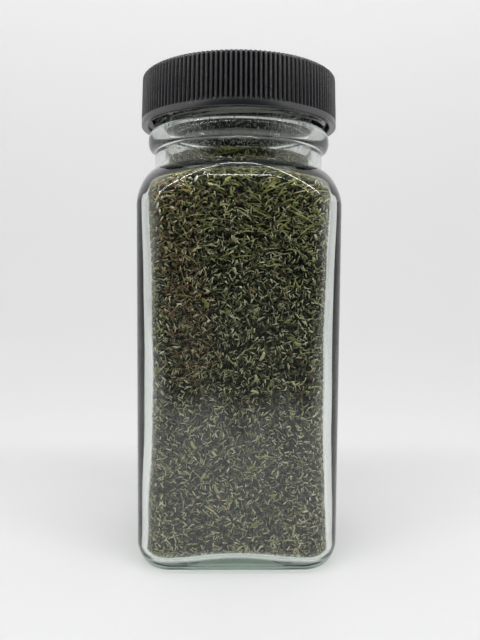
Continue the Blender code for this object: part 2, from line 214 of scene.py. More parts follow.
@dataclass(frozen=True)
class JarSizes:
    """Sizes shared by the glass, the dill and the cap, in millimetres, as in the CAD source."""

    body_width: float = 44.8
    body_corner: float = 8.0
    heel_height: float = 5.0
    heel_inset: float = 3.6
    shoulder_bottom: float = 80.2
    shoulder_top: float = 89.3
    shoulder_roundness: float = 1.9
    shoulder_corner_growth: float = 1.35
    base_recess: float = 1.1
    base_recess_radius: float = 12.0
    base_recess_slope: float = 0.8
    neck_radius: float = 19.85
    bead_radius: float = 21.45
    bead_bottom: float = 93.9
    bead_top: float = 98.2
    lip_top: float = 108.2
    lip_rounding: float = 0.8
    mouth_radius: float = 17.5
    wall_at_shoulder: float = 2.5
    wall_at_middle: float = 3.1
    wall_at_floor: float = 2.1
    wall_bulge: float = 1.2
    cavity_corner: float = 5.0
    floor_height: float = 3.2
    floor_rounding: float = 2.4
    floor_push_up: float = 1.2
    floor_corner_dip: float = 0.8
    floor_corner_rise: float = 9.0
    cavity_shoulder_bottom: float = 80.3
    cavity_shoulder_top: float = 88.2
    cavity_shoulder_roundness: float = 2.4
    cavity_corner_growth: float = 3.0
    thread_lead: float = 4.23
    thread_start_height: float = 99.3
    thread_start_angle: float = math.radians(218.0)
    dill_edge_height: float = 92.4
    dill_heap: float = 2.0

    def outer_shoulder(self, fraction: float) -> tuple[float, float]:
        """Half width and corner radius part of the way up the outside of the shoulder."""
        half = self.body_width / 2.0
        growth = self.shoulder_corner_growth
        return narrowing(fraction, half, self.body_corner, self.neck_radius, self.shoulder_roundness, growth)

    def wall(self, height: float) -> float:
        """Thickness of the side wall at one height."""
        middle = (self.floor_height + self.cavity_shoulder_bottom) / 2.0
        side = self.wall_at_shoulder if height > middle else self.wall_at_floor
        away = min(abs(height - middle) / (self.cavity_shoulder_bottom - middle), 1.0)
        return side + (self.wall_at_middle - side) * math.cos(away * math.pi / 2.0) ** self.wall_bulge

    def cavity(self, height: float) -> tuple[float, float]:
        """Half width and corner radius of the jar's inside at one height."""
        half = self.body_width / 2.0 - self.wall(height)
        if height <= self.cavity_shoulder_bottom:
            return half, self.cavity_corner
        rise = self.cavity_shoulder_top - self.cavity_shoulder_bottom
        fraction = min((height - self.cavity_shoulder_bottom) / rise, 1.0)
        roundness, growth = self.cavity_shoulder_roundness, self.cavity_corner_growth
        return narrowing(fraction, half, self.cavity_corner, self.mouth_radius, roundness, growth)

    def floor_level(self, away: float) -> float:
        """Height of the inner floor at some distance from its centre."""
        edge = self.cavity(self.floor_height)[0] - self.floor_rounding
        return self.floor_height + self.floor_push_up * (1.0 - min(away / edge, 1.0) ** 2)

    def corner_dip(self, points: np.ndarray) -> np.ndarray:
        """Lower the inside near the floor towards its four corners, as a ring of points needs it.

        Args:
            points: Rows of x, y and z.

        Returns:
            The rows, lowered.
        """
        angles = np.arctan2(points[:, 1], points[:, 0])
        out = np.minimum(np.hypot(points[:, 0], points[:, 1]) / self.cavity(self.floor_height)[0], 1.0) ** 2
        low = 1.0 - smooth_step(self.floor_height, self.floor_height + self.floor_corner_rise, points[:, 2])
        lowered = points.copy()
        lowered[:, 2] -= self.floor_corner_dip * np.sin(2.0 * angles) ** 2 * out * low
        return lowered


SIZES = JarSizes()


def square_reach(half: float, corner: float, angles: np.ndarray) -> np.ndarray:
    """Distance from the axis to a square with round corners, along each angle."""
    c = np.abs(np.cos(angles))
    s = np.abs(np.sin(angles))
    straight = half - corner
    flat = half / np.maximum(c, s)
    across = straight * (c + s)
    inside = np.maximum(across * across - 2.0 * straight * straight + corner * corner, 0.0)
    return np.where(flat * np.minimum(c, s) <= straight, flat, across + np.sqrt(inside))


def jar_angles(per_quarter: int) -> np.ndarray:
    """Angles round the jar, closer together at its four corners."""
    t = 2.0 * np.arange(per_quarter) / per_quarter - 1.0
    offsets = math.radians(45.0) * (0.62 * t + 0.38 * t**3)
    return np.concatenate([math.radians(45.0 + 90.0 * quarter) + offsets for quarter in range(4)])


@dataclass(frozen=True)
class ClearGlass:
    """Soda-lime container glass: pressed and blown, fire-polished, with a faint green body colour."""

    name: str = "soda_lime_glass"
    ior: float = 1.52
    body_colour: str = "d2ddd6"
    density: float = 92.0
    shadow_colour: str = "f0f4f1"

    def build(self) -> Material:
        """Make the glass. Shadow rays pass, so that light reaches the herbs behind it."""
        material, tree, _ = new_finish(self.name)
        tree.nodes.clear()
        glass = add_node(
            tree,
            "ShaderNodeBsdfPrincipled",
            {"Base Color": (1.0, 1.0, 1.0, 1.0), "Roughness": 0.0, "IOR": self.ior, "Transmission Weight": 1.0},
        )
        clear = add_node(tree, "ShaderNodeBsdfTransparent", {"Color": linear(self.shadow_colour)})
        rays = add_node(tree, "ShaderNodeLightPath")
        shadow = rays.outputs["Is Shadow Ray"]
        mixed = add_node(tree, "ShaderNodeMixShader", {0: shadow, 1: glass.outputs[0], 2: clear.outputs[0]})
        volume = add_node(
            tree, "ShaderNodeVolumeAbsorption", {"Color": linear(self.body_colour), "Density": self.density}
        )
        add_node(tree, "ShaderNodeOutputMaterial", {"Surface": mixed.outputs[0], "Volume": volume.outputs[0]})
        return material


@dataclass(frozen=True)
class BlackPolypropylene:
    """Injection-moulded polypropylene, black: a soft sheen with a fine spark-eroded grain."""

    name: str = "black_polypropylene"
    colour: str = "141419"
    worn_colour: str = "48484c"
    roughness: float = 0.27
    ior: float = 1.54
    sheen_level: float = 0.95
    grain_mm: float = 0.12
    grain_strength: float = 0.12
    grain_depth_mm: float = 0.02
    dust_mm: float = 0.45
    dust_levels: tuple[float, float] = (0.66, 0.78)
    dust_cover: float = 0.5

    def build(self) -> Material:
        """Make the plastic, with specks of dust that catch the light."""
        material, tree, shader = new_finish(self.name)
        place = object_place(tree)
        specks = add_node(
            tree, "ShaderNodeTexNoise", {"Vector": place, "Scale": 1.0 / (self.dust_mm * MM), "Detail": 2.0}
        )
        least, most = self.dust_levels
        dust = add_node(
            tree,
            "ShaderNodeMapRange",
            {"Value": specks.outputs["Fac"], "From Min": least, "From Max": most, "To Max": self.dust_cover},
        )
        dusty = add_node(
            tree,
            "ShaderNodeMix",
            {0: dust.outputs[0], 6: linear(self.colour), 7: linear(self.worn_colour)},
            data_type="RGBA",
        )
        tree.links.new(dusty.outputs[2], shader.inputs["Base Color"])
        shader.inputs["Roughness"].default_value = self.roughness
        shader.inputs["IOR"].default_value = self.ior
        shader.inputs["Specular IOR Level"].default_value = self.sheen_level
        grain = add_node(
            tree, "ShaderNodeTexNoise", {"Vector": place, "Scale": 1.0 / (self.grain_mm * MM), "Detail": 3.0}
        )
        bump = add_node(
            tree,
            "ShaderNodeBump",
            {
                "Height": grain.outputs["Fac"],
                "Strength": self.grain_strength,
                "Distance": self.grain_depth_mm * MM,
            },
        )
        tree.links.new(bump.outputs[0], shader.inputs["Normal"])
        return material


@dataclass(frozen=True)
class LinerFoam:
    """Foamed polyethylene sheet: off-white and matt, with fine closed cells as bumps."""

    name: str = "foamed_polyethylene"
    colour: str = "e6e4dd"
    roughness: float = 0.7
    cell_mm: float = 0.25
    cell_strength: float = 0.4
    cell_depth_mm: float = 0.05

    def build(self) -> Material:
        """Make the foam, with a bump over each cell."""
        material, tree, shader = new_finish(self.name)
        place = object_place(tree)
        cells = add_node(tree, "ShaderNodeTexVoronoi", {"Vector": place, "Scale": 1.0 / (self.cell_mm * MM)})
        bump = add_node(
            tree,
            "ShaderNodeBump",
            {
                "Height": cells.outputs["Distance"],
                "Strength": self.cell_strength,
                "Distance": self.cell_depth_mm * MM,
            },
        )
        shader.inputs["Base Color"].default_value = linear(self.colour)
        shader.inputs["Roughness"].default_value = self.roughness
        tree.links.new(bump.outputs[0], shader.inputs["Normal"])
        return material


@dataclass(frozen=True)
class DriedHerb:
    """Dried plant bits: each bit has its own colour, mottled along its length, with a dull waxy skin."""

    name: str
    colours: tuple[tuple[float, str], ...]
    mottle_mm: float = 0.5
    mottle_share: float = 0.3
    roughness: float = 0.62
    sheen_level: float = 0.35

    def build(self) -> Material:
        """Make the finish; the bit's own tint picks a place on the colour ramp."""
        material, tree, shader = new_finish(self.name)
        place = object_place(tree)
        tint = add_node(tree, "ShaderNodeAttribute", attribute_name="tint")
        mottle = add_node(
            tree, "ShaderNodeTexNoise", {"Vector": place, "Scale": 1.0 / (self.mottle_mm * MM), "Detail": 2.0}
        )
        shift = add_node(
            tree,
            "ShaderNodeMath",
            {0: mottle.outputs["Fac"], 1: self.mottle_share, 2: tint.outputs["Fac"]},
            operation="MULTIPLY_ADD",
        )
        half = self.mottle_share / 2.0
        centred = add_node(tree, "ShaderNodeMath", {0: shift.outputs[0], 1: half}, operation="SUBTRACT")
        ramp = add_node(tree, "ShaderNodeValToRGB", {"Fac": centred.outputs[0]})
        stops = ramp.color_ramp.elements
        while len(stops) < len(self.colours):
            stops.new(0.5)
        for stop, (position, code) in zip(stops, self.colours):
            stop.position = position
            stop.color = linear(code)
        tree.links.new(ramp.outputs[0], shader.inputs["Base Color"])
        shader.inputs["Roughness"].default_value = self.roughness
        shader.inputs["Specular IOR Level"].default_value = self.sheen_level
        return material


@dataclass(frozen=True)
class StudioCard:
    """Matt white card that gives off painted light, more up the backdrop than on the floor; no lamp is behind it.
    In front of the object it is painted dark grey as painted shade, so it gives little light back.

    Where the camera sees it directly it is pale all over, with painted light on its front; in reflections and
    through the glass its front is dark.
    """

    name: str = "white_card"
    colour: str = "ececec"
    painted_shade_colour: str = "585858"
    fade: tuple[float, float] = (-0.26, -0.15)
    # painted light: how strongly the card shines by itself, low on the floor and higher up the backdrop
    painted_glow: tuple[float, float] = (0.06, 0.42)
    painted_glow_heights: tuple[float, float] = (0.0, 0.45)
    # painted light: only the camera sees the card's front shine, so the unlit front looks evenly lit
    camera_painted_light: float = 0.32
    camera_painted_light_fade: tuple[float, float] = (-0.8, -0.2)
    roughness: float = 0.9
    sheen_level: float = 0.2

    def build(self) -> Material:
        """Make the card; its place along Y picks white or painted shade, and its height picks how much painted
        light it gives off.
        """
        material, tree, shader = new_finish(self.name)
        place = object_place(tree)
        parts = add_node(tree, "ShaderNodeSeparateXYZ", {0: place})
        white = add_node(
            tree,
            "ShaderNodeMapRange",
            {"Value": parts.outputs["Y"], "From Min": self.fade[0], "From Max": self.fade[1]},
            interpolation_type="SMOOTHSTEP",
        )
        # painted shade: the card's front, towards the camera, turns dark grey in place of the shade in front of
        # the object
        shade = add_node(
            tree,
            "ShaderNodeMix",
            {0: white.outputs[0], 6: linear(self.painted_shade_colour), 7: linear(self.colour)},
            data_type="RGBA",
        )
        # where the camera sees the card directly the painted shade is left out, so it looks pale all over
        straight = add_node(tree, "ShaderNodeLightPath").outputs["Is Camera Ray"]
        seen = add_node(
            tree, "ShaderNodeMix", {0: straight, 6: shade.outputs[2], 7: linear(self.colour)}, data_type="RGBA"
        )
        tree.links.new(seen.outputs[2], shader.inputs["Base Color"])
        # painted light: the card shines by itself, more with height, though it is no lamp
        painted_glow = add_node(
            tree,
            "ShaderNodeMapRange",
            {
                "Value": parts.outputs["Z"],
                "From Min": self.painted_glow_heights[0],
                "From Max": self.painted_glow_heights[1],
                "To Min": self.painted_glow[0],
                "To Max": self.painted_glow[1],
            },
        )
        # the painted light only where the card is white, not on its painted-shade front
        behind = add_node(
            tree, "ShaderNodeMath", {0: painted_glow.outputs[0], 1: white.outputs[0]}, operation="MULTIPLY"
        )
        # painted light: the front of the card shines for the camera alone
        camera_painted_light = add_node(
            tree,
            "ShaderNodeMapRange",
            {
                "Value": parts.outputs["Y"],
                "From Min": self.camera_painted_light_fade[0],
                "From Max": self.camera_painted_light_fade[1],
                "To Min": self.camera_painted_light,
                "To Max": 0.0,
            },
            interpolation_type="SMOOTHSTEP",
        )
        total = add_node(
            tree,
            "ShaderNodeMath",
            {0: straight, 1: camera_painted_light.outputs[0], 2: behind.outputs[0]},
            operation="MULTIPLY_ADD",
        )
        tree.links.new(total.outputs[0], shader.inputs["Emission Strength"])
        shader.inputs["Emission Color"].default_value = linear("ffffff")
        shader.inputs["Roughness"].default_value = self.roughness
        shader.inputs["Specular IOR Level"].default_value = self.sheen_level
        return material


@dataclass(frozen=True)
class ScrewThread:
    """One screw thread on the jar's lead: its turns from first to last, and its size across."""

    drop: float
    first: float
    last: float
    fade: float
    half_width: float
    crest_share: float
    height: float

    def swell(self, angles: np.ndarray, level: float) -> np.ndarray:
        """How far the thread stands out of its wall at one level, for each angle."""
        swell = np.zeros_like(angles)
        turn_at = np.mod(angles - SIZES.thread_start_angle, 2.0 * math.pi) / (2.0 * math.pi)
        for wrap in range(3):
            turn = turn_at + wrap
            middle = SIZES.thread_start_height + SIZES.thread_lead * turn - self.drop
            ends = smooth_step(self.first, self.first + self.fade, turn)
            ends = ends * (1.0 - smooth_step(self.last - self.fade, self.last, turn))
            full = 1.0 - smooth_step(self.crest_share, 1.0, np.abs(level - middle) / self.half_width)
            swell = np.maximum(swell, ends * self.height * full)
        return swell


NECK_THREAD = ScrewThread(drop=0.0, first=0.0, last=1.6, fade=0.03, half_width=1.0, crest_share=0.42, height=1.15)
CAP_THREAD = ScrewThread(drop=2.0, first=0.8, last=1.8, fade=0.04, half_width=0.7, crest_share=0.4, height=1.0)


@dataclass
class GlassJar:
    """The moulded jar: round-cornered square body, domed shoulder, neck with bead, thread and lip.

    The powers shape quarter turns that aren't quite round.
    """

    sizes: JarSizes = SIZES
    per_quarter: int = 56
    wave: float = 0.05
    recess_power: float = 1.3
    heel_power: float = 0.8
    bead_power: float = 0.6
    neck_levels: tuple[float, ...] = (90.5, 92.0, 93.3)
    thread_rows: tuple[float, float, float] = (98.35, 107.3, 0.16)
    floor_shares: tuple[float, ...] = (0.93, 0.83, 0.7, 0.55, 0.4, 0.25, 0.12)
    tip_rise: float = 0.03
    finish: ClearGlass = field(default_factory=ClearGlass)

    def base_rows(self) -> list[tuple[float, float, float]]:
        """Rows of the underside as half width, corner and height, from the centre out to the heel."""
        s = self.sizes
        recess = s.base_recess_radius
        top = recess - s.base_recess_slope
        rows = [(top * share, top * share, s.base_recess) for share in (0.15, 0.4, 0.65, 0.85)]
        for turn in np.linspace(0.0, 90.0, 9):
            radius = top + s.base_recess_slope * math.sin(math.radians(turn))
            rows.append((radius, radius, s.base_recess * math.cos(math.radians(turn)) ** self.recess_power))
        foot = s.body_width / 2.0 - s.heel_inset
        for share in (0.3, 0.7):
            half = recess + (foot - recess) * share
            rows.append((half, recess + (s.body_corner - s.heel_inset - recess) * share, 0.0))
        return rows

    def heel_rows(self) -> list[tuple[float, float, float]]:
        """Rows from the edge of the flat foot up the round heel."""
        s = self.sizes
        rows = []
        for turn in np.linspace(0.0, 90.0, 17):
            inset = s.heel_inset * (1.0 - math.sin(math.radians(turn))) ** self.heel_power
            height = s.heel_height * (1.0 - math.cos(math.radians(turn)))
            rows.append((s.body_width / 2.0 - inset, s.body_corner - inset, height))
        return rows

    def shoulder_rows(self) -> list[tuple[float, float, float]]:
        """Rows over the shoulder, evenly spread along its curve."""
        s = self.sizes
        rows = []
        for turn in np.linspace(3.0, 87.0, 26):
            fraction = math.sin(math.radians(turn)) ** (2.0 / s.shoulder_roundness)
            height = s.shoulder_bottom + (s.shoulder_top - s.shoulder_bottom) * fraction
            rows.append((*s.outer_shoulder(fraction), height))
        return rows

    def neck_rows(self) -> list[tuple[float, float, float]]:
        """Rows of the neck, the transfer bead and the threaded finish up to the lip."""
        s = self.sizes
        rows = [(s.neck_radius, s.neck_radius, h) for h in (s.shoulder_top + 0.35, *self.neck_levels)]
        for turn in np.linspace(0.0, 180.0, 23):
            swell = math.sin(math.radians(turn)) ** self.bead_power
            radius = s.neck_radius + (s.bead_radius - s.neck_radius) * swell
            height = s.bead_bottom + (s.bead_top - s.bead_bottom) * (1.0 - math.cos(math.radians(turn))) / 2.0
            rows.append((radius, radius, height))
        rows += [(s.neck_radius, s.neck_radius, h) for h in np.arange(*self.thread_rows)]
        for inset, drop in quarter_arc(s.lip_rounding, np.linspace(0.0, 90.0, 7)):
            rows.append((s.neck_radius - inset, s.neck_radius - inset, s.lip_top - drop))
        return rows

    def inside_rows(self) -> list[tuple[float, float, float]]:
        """Rows of the inside from the lip down to the floor's centre."""
        s = self.sizes
        rows = []
        for spread, drop in quarter_arc(s.lip_rounding, np.linspace(90.0, 0.0, 7)):
            rows.append((s.mouth_radius + spread, s.mouth_radius + spread, s.lip_top - drop))
        for height in np.linspace(105.0, s.cavity_shoulder_top + 0.3, 12):
            rows.append((s.mouth_radius, s.mouth_radius, height))
        rise = s.cavity_shoulder_top - s.cavity_shoulder_bottom
        for turn in np.linspace(87.0, 3.0, 26):
            share = math.sin(math.radians(turn)) ** (2.0 / s.cavity_shoulder_roundness)
            height = s.cavity_shoulder_bottom + rise * share
            rows.append((*s.cavity(height), height))
        for height in np.linspace(s.cavity_shoulder_bottom, s.floor_height + s.floor_rounding, 44):
            rows.append((*s.cavity(height), height))
        half, corner = s.cavity(s.floor_height)
        for inset, rise in quarter_arc(s.floor_rounding, np.linspace(8.0, 90.0, 10)):
            rows.append((half - inset, corner - inset, s.floor_height + rise))
        flat = half - s.floor_rounding
        for share in self.floor_shares:
            rows.append((flat * share, max(3.8, flat * share * 0.45), s.floor_level(flat * share)))
        return rows

    def inner_wave(self, angles: np.ndarray, height: float) -> np.ndarray:
        """How far the blown inside wanders from its drawn shape at one height, for each angle."""
        s = self.sizes
        room = smooth_step(s.floor_height + s.floor_rounding, s.floor_height + 12.0, height)
        room = room * (1.0 - smooth_step(s.cavity_shoulder_bottom - 6.0, s.cavity_shoulder_top, height))
        slow = np.sin(5.0 * angles + 0.11 * height) + np.sin(9.0 * angles - 0.17 * height + 1.3)
        fine = 0.5 * np.sin(17.0 * angles + 0.31 * height + 0.6)
        return self.wave * room * (slow + fine)

    def build(self) -> Object:
        """Build the jar as one closed mesh that stands for the CAD glass."""
        s = self.sizes
        angles = jar_angles(self.per_quarter)
        levels = np.linspace(s.heel_height, s.shoulder_bottom, 31)[1:]
        body = [(s.body_width / 2.0, s.body_corner, height) for height in levels]
        rows = self.base_rows() + self.heel_rows() + body + self.shoulder_rows() + self.neck_rows()
        outside = len(rows)
        rows += self.inside_rows()
        rings = []
        for index, (half, corner, height) in enumerate(rows):
            reach = square_reach(half, min(corner, half), angles)
            if index < outside and s.bead_top < height < s.lip_top - s.lip_rounding:
                reach = reach + NECK_THREAD.swell(angles, height)
            if index > outside:
                reach = reach + self.inner_wave(angles, height)
            ring = ring_at(reach, angles, height)
            rings.append(s.corner_dip(ring) if index > outside else ring)
        points, faces = closed_skin(rings, (0.0, 0.0, rows[0][2]), (0.0, 0.0, rows[-1][2] + self.tip_rise))
        jar = mesh_object("glass_jar", points, faces, self.finish.build())
        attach(jar, "jar")
        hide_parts("jar_glass")
        return jar


@dataclass
class ScrewCap:
    """The cap: a skirt with fine upright ribs over a plain band, a flat top and an inner thread."""

    rim_height: float = 99.4
    top_height: float = 111.0
    rim_radius: float = 23.0
    top_radius: float = 22.7
    flat_radius: float = 21.8
    edge_height: float = 0.9
    bore_radius: float = 21.45
    top_thickness: float = 1.4
    band_height: float = 1.4
    rib_count: int = 136
    rib_depth: float = 0.66
    rib_sharpness: float = 1.35
    rib_root: float = 0.25
    thread_row_step: float = 0.22
    rim_rounding: float = 0.22
    bore_rounding: float = 0.35
    points_round: int = 272
    finish: BlackPolypropylene = field(default_factory=BlackPolypropylene)

    def edge_inset(self, height: float) -> float:
        """How far the round top edge draws in at one height."""
        start = self.top_height - self.edge_height
        over = min(max((height - start) / self.edge_height, 0.0), 1.0)
        return (self.top_radius - self.flat_radius) * (1.0 - math.sqrt(1.0 - over * over))

    def crest(self, height: float) -> float:
        """Radius of the ribs' crests at one height."""
        low = self.rim_height + self.band_height
        share = (height - low) / (self.top_height - self.edge_height - low)
        return self.rim_radius + (self.top_radius - self.rim_radius) * min(share, 1.0) - self.edge_inset(height)

    def shell_profile(self) -> list[tuple[float, float]]:
        """Radius and height along the shell: top, skirt at the grooves, band, rim and bore."""
        low = self.rim_height + self.band_height
        rows = [(r, self.top_height) for r in (5.0, 12.0, 18.0, 20.6, 21.2)]
        groove_heights = [self.top_height - drop for drop in (0.06, 0.2, 0.4, 0.65, self.edge_height)]
        groove_heights += list(np.linspace(self.top_height - 2.0, low + self.rib_depth, 6))
        rows += [(self.crest(h) - self.rib_depth, h) for h in groove_heights]
        for spread, rise in quarter_arc(self.rib_depth, (12.0, 24.0, 36.0, 50.0, 64.0, 78.0)):
            rows.append((self.rim_radius - self.rib_depth + spread, low + rise))
        rows += [
            (self.rim_radius - 0.01, low - 0.02),
            (self.rim_radius, low - 0.12),
            (self.rim_radius, self.rim_height + 0.3),
        ]
        for inset, rise in quarter_arc(self.rim_rounding, (20.0, 45.0, 70.0, 90.0)):
            rows.append((self.rim_radius - inset, self.rim_height + rise))
        for spread, rise in quarter_arc(self.bore_rounding, (90.0, 60.0, 30.0, 0.0)):
            rows.append((self.bore_radius + spread, self.rim_height + rise))
        return rows

    def build_shell(self, material: Material) -> Object:
        """Build the cap without its ribs, as one closed mesh."""
        angles = np.linspace(0.0, 2.0 * math.pi, self.points_round, endpoint=False)
        rows = self.shell_profile()
        bore_top = self.top_height - self.top_thickness
        rings = [np.full_like(angles, radius) for radius, _ in rows]
        heights = [height for _, height in rows]
        for height in np.arange(self.rim_height + 0.5, bore_top - 0.05, self.thread_row_step):
            rings.append(self.bore_radius - CAP_THREAD.swell(angles, height))
            heights.append(height)
        for radius, height in ((self.bore_radius, bore_top), (18.0, bore_top), (8.0, bore_top)):
            rings.append(np.full_like(angles, radius))
            heights.append(height)
        levels = [ring_at(reach, angles, height) for reach, height in zip(rings, heights)]
        points, faces = closed_skin(levels, (0.0, 0.0, self.top_height), (0.0, 0.0, bore_top), flip=True)
        shell = mesh_object("cap_shell", points, faces, material)
        shell.data.set_sharp_from_angle(angle=math.radians(50.0))
        return shell

    def single_rib(self, material: Material) -> Object:
        """Build one rib on +X, from inside the band up over the round top edge."""
        pitch = 2.0 * math.pi / self.rib_count
        across = np.linspace(-0.5, 0.5, 9)
        low = self.rim_height + self.band_height
        heights = [low - 0.1, low + 0.3, low + 4.0, self.top_height - self.edge_height]
        for share in (0.3, 0.55, 0.75, 0.9, 0.985):
            heights.append(self.top_height - self.edge_height * (1.0 - share))
        rings = []
        for height in heights:
            fade = 1.0 - 0.35 * smooth_step(self.top_height - 0.5, self.top_height, height)
            swell = np.maximum(np.cos(across * math.pi), 0.0) ** self.rib_sharpness * self.rib_depth * fade
            radius = self.crest(height) - self.rib_depth + swell
            outer = ring_at(radius, across * pitch, height)
            sunk = np.full(2, self.crest(height) - self.rib_depth - self.rib_root)
            inner = ring_at(sunk, np.array([0.4, -0.4]) * pitch, height - 0.02)
            rings.append(np.concatenate([outer, inner]))
        points = np.concatenate(rings)
        count = len(rings[0])
        faces = ring_faces(count, len(rings))
        faces.append(list(range(count))[::-1])
        faces.append(list(range((len(rings) - 1) * count, len(rings) * count)))
        rib = mesh_object("cap_ribs", points, faces, material)
        rib.data.set_sharp_from_angle(angle=math.radians(60.0))
        return rib

    def rib_tree(self) -> NodeTree:
        """Make the tree that repeats one rib round the axis."""
        tree = bpy.data.node_groups.new("ribs_round_the_axis", "GeometryNodeTree")
        name_inputs(tree, (("Rib", "Geometry"), ("Rib count", "Int"), ("Finish", "Material")))
        given = add_node(tree, "NodeGroupInput")
        places = add_node(
            tree, "GeometryNodeMeshLine", {"Count": given.outputs["Rib count"], "Offset": (0.0, 0.0, 0.0)}
        )
        index = add_node(tree, "GeometryNodeInputIndex")
        step = add_node(
            tree, "ShaderNodeMath", {0: 2.0 * math.pi, 1: given.outputs["Rib count"]}, operation="DIVIDE"
        )
        turn = add_node(tree, "ShaderNodeMath", {0: index.outputs[0], 1: step.outputs[0]}, operation="MULTIPLY")
        euler = add_node(tree, "ShaderNodeCombineXYZ", {"Z": turn.outputs[0]})
        spin = add_node(tree, "FunctionNodeEulerToRotation", {0: euler.outputs[0]})
        ribs = add_node(
            tree,
            "GeometryNodeInstanceOnPoints",
            {"Points": places.outputs[0], "Instance": given.outputs["Rib"], "Rotation": spin.outputs[0]},
        )
        real = add_node(tree, "GeometryNodeRealizeInstances", {0: ribs.outputs[0]})
        finish = add_node(
            tree, "GeometryNodeSetMaterial", {"Geometry": real.outputs[0], "Material": given.outputs["Finish"]}
        )
        add_node(tree, "NodeGroupOutput", {0: finish.outputs[0]})
        return tree

    def build(self) -> list[Object]:
        """Build the shell and its ring of ribs, which stand for the CAD cap."""
        plastic = self.finish.build()
        shell = self.build_shell(plastic)
        ribs = self.single_rib(plastic)
        grow(ribs, self.rib_tree(), {"Rib count": self.rib_count, "Finish": plastic})
        for piece in (shell, ribs):
            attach(piece, "cap")
        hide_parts("screw_cap")
        return [shell, ribs]


def grow(obj: Object, tree: NodeTree, values: dict[str, object]) -> None:
    """Run a geometry tree on an object and keep the result as its plain mesh.

    Args:
        obj: The object whose mesh goes in and is replaced.
        tree: The tree to run.
        values: Input name to value.
    """
    modifier = obj.modifiers.new("grow", "NODES")
    modifier.node_group = tree
    names = {item.name: item.identifier for item in tree.interface.items_tree if item.item_type == "SOCKET"}
    for name, value in values.items():
        modifier[names[name]] = value
    graph = bpy.context.evaluated_depsgraph_get()
    graph.update()
    grown = bpy.data.meshes.new_from_object(obj.evaluated_get(graph))
    obj.modifiers.remove(modifier)
    grown.name = obj.name
    obj.data = grown


class BitForm(Enum):
    """Forms of the chopped bits: points round, steps along, length, width, thickness and bend."""

    NEEDLE = (3, 1, 1.2, 0.38, 0.32, 0.0)
    FINE = (3, 1, 1.0, 0.26, 0.23, 0.0)
    SHORT = (3, 2, 1.2, 0.36, 0.32, 0.0)
    STRAND = (3, 4, 3.3, 0.31, 0.27, 0.07)
    CHIP = (4, 2, 1.3, 0.62, 0.3, 0.04)
    FLAKE = (4, 3, 1.7, 0.8, 0.16, 0.1)
    DUST = (3, 1, 0.22, 0.17, 0.07, 0.0)


@dataclass(frozen=True)
class BitCrowd:
    """One kind of bit: its form, its number, how deep it lies, and how its sizes and tilt vary."""

    name: str
    form: BitForm
    finish: DriedHerb
    count: int
    inset: float
    tilt: float
    sizes: tuple[float, float]
    seed: int
    where: Callable[[np.ndarray], np.ndarray]
    stray: float = 50.0
    swirl: float = 16.0


def everywhere(points: np.ndarray) -> np.ndarray:
    """The same number of bits all over."""
    return np.ones(len(points))


def near_top(points: np.ndarray) -> np.ndarray:
    """Mostly towards the shoulder, where the long light ones gather."""
    return 0.04 + 0.96 * smooth_step(64.0, 84.0, points[:, 2])


def thin_at_top(points: np.ndarray) -> np.ndarray:
    """Fewer short bits towards the shoulder, where the long ones lie over them."""
    return 1.0 - 0.6 * smooth_step(70.0, 85.0, points[:, 2])


def towards_herbs(points: np.ndarray) -> np.ndarray:
    """More dust on the neck just above the herbs than near the lip."""
    return 1.0 - 0.6 * smooth_step(94.0, 103.0, points[:, 2])


def brown_seam(points: np.ndarray) -> np.ndarray:
    """A seam of brown bits down the left of the front, and a little of it elsewhere."""
    low = np.array([-9.5, -19.0, 47.0])
    high = np.array([-15.5, -19.0, 84.0])
    along = np.clip(((points - low) @ (high - low)) / ((high - low) @ (high - low)), 0.0, 1.0)
    away = np.linalg.norm(points - low - along[:, None] * (high - low), axis=1)
    return 0.1 + 0.9 * (1.0 - smooth_step(2.0, 7.5, away))


